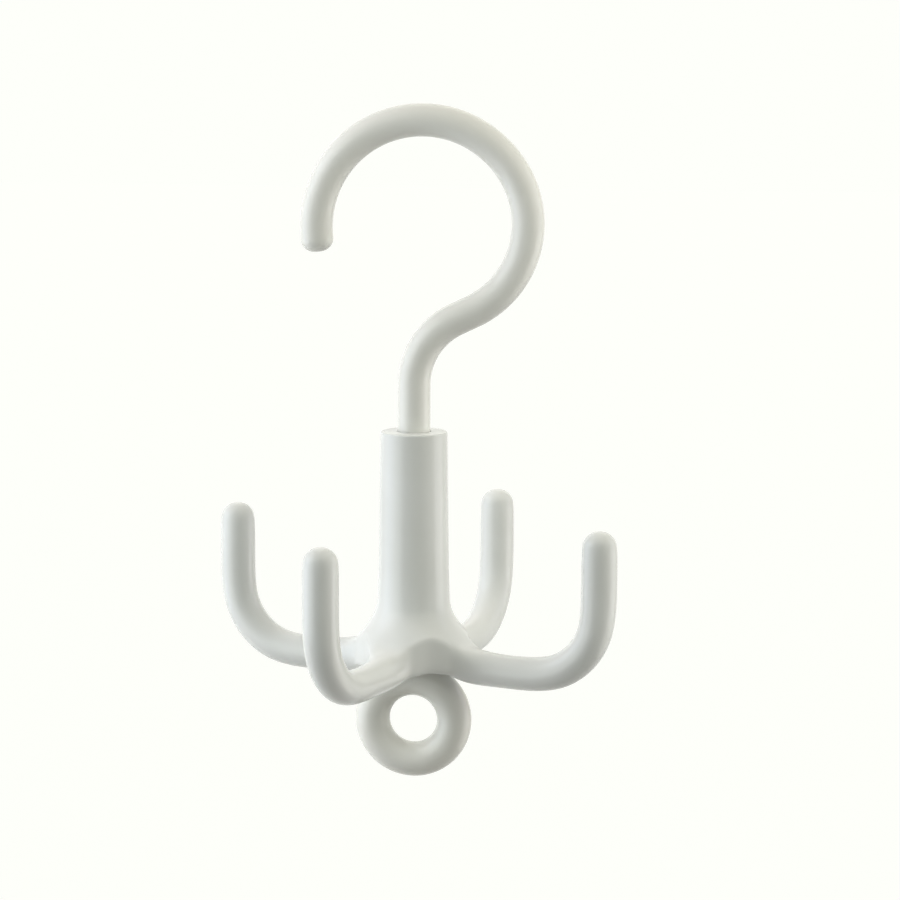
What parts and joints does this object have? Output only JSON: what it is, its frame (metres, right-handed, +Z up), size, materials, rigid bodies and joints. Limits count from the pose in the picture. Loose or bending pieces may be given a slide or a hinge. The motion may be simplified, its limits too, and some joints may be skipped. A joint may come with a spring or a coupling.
{
  "type": "rotating hanging hook",
  "caption": "Closet rail hook whose sleeve of upturned claws turns freely on the shank, with a hanging ring underneath.",
  "frame": {"origin": "underside of the hook's crown, on the axis that the claws turn about", "axes": "+Z up along the shank, the hook and the ring lie in the XZ plane, the hook's mouth faces -X"},
  "size_m": [0.0994, 0.0994, 0.16],
  "materials": {
    "hook_plastic": "satin white moulded plastic",
    "claw_plastic": "satin white moulded plastic",
    "ring_plastic": "satin white moulded plastic"
  },
  "bodies": {
    "hook": {"top_hook": "hook_plastic", "hanging_ring": "ring_plastic"},
    "claws": {"claw_body": "claw_plastic"}
  },
  "joints": [
    {"name": "claw_swivel", "type": "hinge", "parent": "hook", "child": "claws", "pos_m": [0, 0, -0.1], "axis": [0, 0, 1], "continuous": true}
  ]
}
